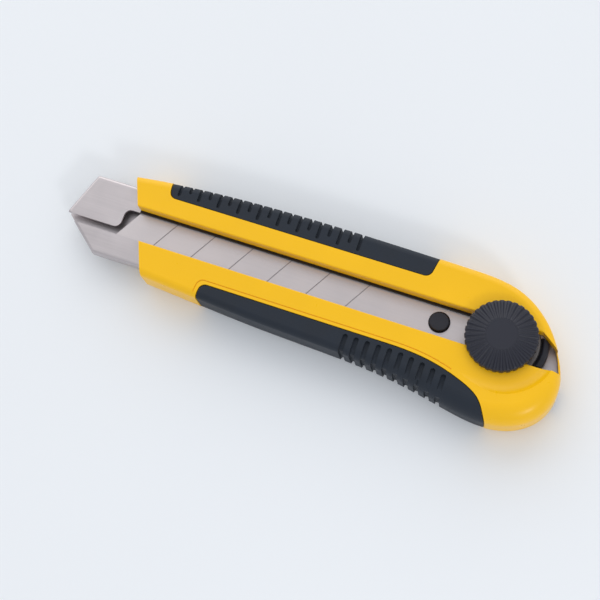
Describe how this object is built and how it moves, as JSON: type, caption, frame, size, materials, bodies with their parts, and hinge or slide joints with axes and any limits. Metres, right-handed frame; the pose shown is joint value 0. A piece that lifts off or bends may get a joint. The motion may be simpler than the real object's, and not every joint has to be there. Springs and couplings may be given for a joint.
{
  "type": "snap off knife",
  "caption": "Heavy-duty snap off knife: scored blade in a folded steel channel, two-part handle with soft grips, and a slider locked by a screw-down wheel.",
  "frame": {"origin": "centre of the bounding box in plan, at the flat back of the handle", "axes": "+X from the blade's nose towards the butt and the lock wheel, +Y towards the spine on the thumb's side, +Z out of the side with the window and the wheel; the knife lies on its back"},
  "size_m": [0.178, 0.0476, 0.0193],
  "materials": {
    "yellow_body": "satin moulded ABS, yellow",
    "yellow_cover": "satin moulded ABS, yellow",
    "thumb_rubber": "soft matt grip",
    "finger_rubber": "soft matt grip",
    "channel_steel": "folded stainless sheet",
    "blade_steel": "ground carbon steel",
    "carriage_plastic": "glass-filled nylon",
    "wheel_plastic": "satin moulded nylon",
    "cap_plastic": "satin moulded nylon",
    "snapper_plastic": "moulded nylon",
    "spring_steel": "spring steel",
    "zinc_steel": "zinc plated steel",
    "plate_steel": "stamped steel plate",
    "insert_brass": "turned brass"
  },
  "bodies": {
    "handle": {"handle_body": "yellow_body", "back_cover": "yellow_cover", "thumb_grip": "thumb_rubber", "finger_grip": "finger_rubber", "blade_channel": "channel_steel", "blade_snapper": "snapper_plastic", "snapper_pin": "zinc_steel", "shell_screws": "zinc_steel", "channel_screws": "zinc_steel"},
    "slider": {"slider_carriage": "carriage_plastic", "blade": "blade_steel", "slider_spring": "spring_steel", "lock_bolt": "zinc_steel", "retaining_clip": "spring_steel"},
    "lock_lift": {"pressure_plate": "plate_steel", "thrust_washer": "zinc_steel", "spring_washer": "spring_steel"},
    "wheel": {"lock_wheel": "wheel_plastic", "wheel_nut": "insert_brass", "wheel_cap": "cap_plastic"}
  },
  "joints": [
    {"name": "blade_slide", "type": "slide", "parent": "handle", "child": "slider", "axis": [-1, 0, 0], "range_m": [0, 0.098]},
    {"name": "lock_rise", "type": "slide", "parent": "slider", "child": "lock_lift", "axis": [0, 0, 1], "range_m": [0, 0.00075]},
    {"name": "wheel_turn", "type": "hinge", "parent": "lock_lift", "child": "wheel", "pos_m": [0.06681, 0.0039, 0.01525], "axis": [0, 0, 1], "range_deg": [0, 270]}
  ],
  "couplings": [
    {"joint": "wheel_turn", "follows": "lock_rise", "rad_per_m": 6283.2}
  ]
}
